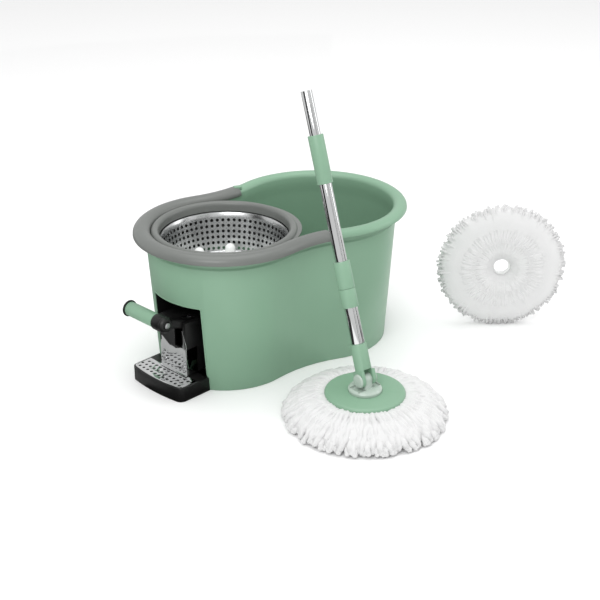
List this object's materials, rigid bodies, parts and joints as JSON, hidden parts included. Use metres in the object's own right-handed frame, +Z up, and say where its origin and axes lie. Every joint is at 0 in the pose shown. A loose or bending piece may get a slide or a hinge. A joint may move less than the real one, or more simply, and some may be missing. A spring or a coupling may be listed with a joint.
{
  "type": "spin mop",
  "caption": "Two-lobed mop bucket with a pedal-driven steel wringer basket, a telescopic mop with a round microfibre head, and a spare head.",
  "frame": {"origin": "the wringer basket's axis at the bucket's resting face", "axes": "+X towards the bath end of the bucket, +Z up, -Y towards the side where the mop stands"},
  "size_m": [0.7456, 0.588, 0.4985],
  "materials": {
    "green_plastic": "satin moulded sage green",
    "grey_plastic": "satin moulded mid grey",
    "black_plastic": "fine grained black",
    "white_plastic": "glossy white",
    "gear_plastic": "natural acetal",
    "pale_green_plastic": "pale green-grey moulded",
    "polished_steel": "mirror polished",
    "basket_steel": "satin stainless, spun and punched",
    "plain_steel": "plain turned",
    "rubber": "soft black",
    "microfibre": "white looped microfibre strands"
  },
  "bodies": {
    "bucket": {"bucket": "green_plastic", "rim_cover": "grey_plastic", "basket_ring": "grey_plastic", "splash_guard": "black_plastic", "well_liner": "black_plastic", "shaft_bush": "gear_plastic", "shaft_seal": "rubber", "idler_pin": "plain_steel", "rack_guide": "black_plastic", "gear_case": "black_plastic", "foot_plate": "black_plastic", "foot_cover": "polished_steel", "foot_pads": "rubber", "pedal_shroud": "polished_steel", "shroud_screws": "plain_steel", "pedal_pivot_pin": "plain_steel", "pedal_spring": "plain_steel"},
    "pedal": {"pedal_arm": "black_plastic", "pedal_spindle": "plain_steel", "pedal_end_cap": "black_plastic", "pedal_collar": "black_plastic", "pedal_flange": "black_plastic", "pedal_screw": "plain_steel"},
    "pedal_roller": {"pedal_grip": "green_plastic"},
    "rack": {"drive_rack": "gear_plastic"},
    "idler": {"idler_gear": "gear_plastic"},
    "basket": {"basket": "basket_steel", "drive_plate": "white_plastic", "hub_nut": "plain_steel", "basket_shaft": "plain_steel", "output_pinion": "gear_plastic"},
    "swivel": {"swivel_yoke": "pale_green_plastic", "swivel_bolt": "plain_steel"},
    "mop_head": {"mop_disc": "green_plastic", "head_ring": "white_plastic", "mop_strands": "microfibre"},
    "handle": {"socket": "green_plastic", "ear_caps": "pale_green_plastic", "yoke_pin": "plain_steel", "lower_tube": "polished_steel", "lock_seat": "green_plastic"},
    "collar": {"lock_collar": "green_plastic"},
    "mid_pole": {"mid_tube": "polished_steel", "inner_wedge": "white_plastic", "hand_grip": "green_plastic"},
    "top_pole": {"top_tube": "polished_steel"},
    "spare_head": {"spare_ring": "white_plastic", "spare_strands": "microfibre"}
  },
  "joints": [
    {"name": "pedal_swing", "type": "hinge", "parent": "bucket", "child": "pedal", "pos_m": [-0.06879, -0.02785, 0.1], "axis": [0.1392, -0.9903, 0], "range_deg": [0, 36], "stiffness_Nm_per_rad": 2, "springref_deg": -20.05},
    {"name": "pedal_roller_spin", "type": "hinge", "parent": "pedal", "child": "pedal_roller", "pos_m": [-0.16008, 0.00376, 0.1295], "axis": [0.1392, -0.9903, 0], "continuous": true},
    {"name": "rack_slide", "type": "slide", "parent": "bucket", "child": "rack", "axis": [0.9903, 0.1392, 0], "range_m": [0, 0.038]},
    {"name": "idler_spin", "type": "hinge", "parent": "bucket", "child": "idler", "pos_m": [-0.04182, -0.00386, 0.015], "axis": [0, 0, 1], "range_deg": [0, 181]},
    {"name": "basket_spin", "type": "hinge", "parent": "bucket", "child": "basket", "pos_m": [0, 0, 0.165], "axis": [0, 0, 1], "continuous": true},
    {"name": "mop_lift", "type": "slide", "parent": "bucket", "child": "swivel", "axis": [0, 0, 1], "range_m": [0, 0.3]},
    {"name": "head_spin", "type": "hinge", "parent": "swivel", "child": "mop_head", "pos_m": [0.062, -0.293, 0.04], "axis": [0, 0, 1], "continuous": true},
    {"name": "handle_tilt", "type": "hinge", "parent": "swivel", "child": "handle", "pos_m": [0.062, -0.293, 0.066], "axis": [1, 0, 0], "range_deg": [-14, 85]},
    {"name": "collar_twist", "type": "hinge", "parent": "handle", "child": "collar", "pos_m": [0.062, -0.23597, 0.22615], "axis": [0, 0.3355, 0.9421], "range_deg": [0, 60]},
    {"name": "mid_pole_slide", "type": "slide", "parent": "handle", "child": "mid_pole", "axis": [0, 0.3355, 0.9421], "range_m": [0, 0.07]},
    {"name": "top_pole_slide", "type": "slide", "parent": "mid_pole", "child": "top_pole", "axis": [0, 0.3355, 0.9421], "range_m": [-0.06, 0.07]},
    {"name": "spare_lift", "type": "slide", "parent": "bucket", "child": "spare_head", "axis": [0, 0, 1], "range_m": [0, 0.3]}
  ],
  "couplings": [
    {"joint": "rack_slide", "follows": "pedal_swing", "m_per_rad": 0.06},
    {"joint": "idler_spin", "follows": "pedal_swing", "ratio": 5},
    {"joint": "basket_spin", "follows": "pedal_swing", "ratio": -12.5}
  ]
}
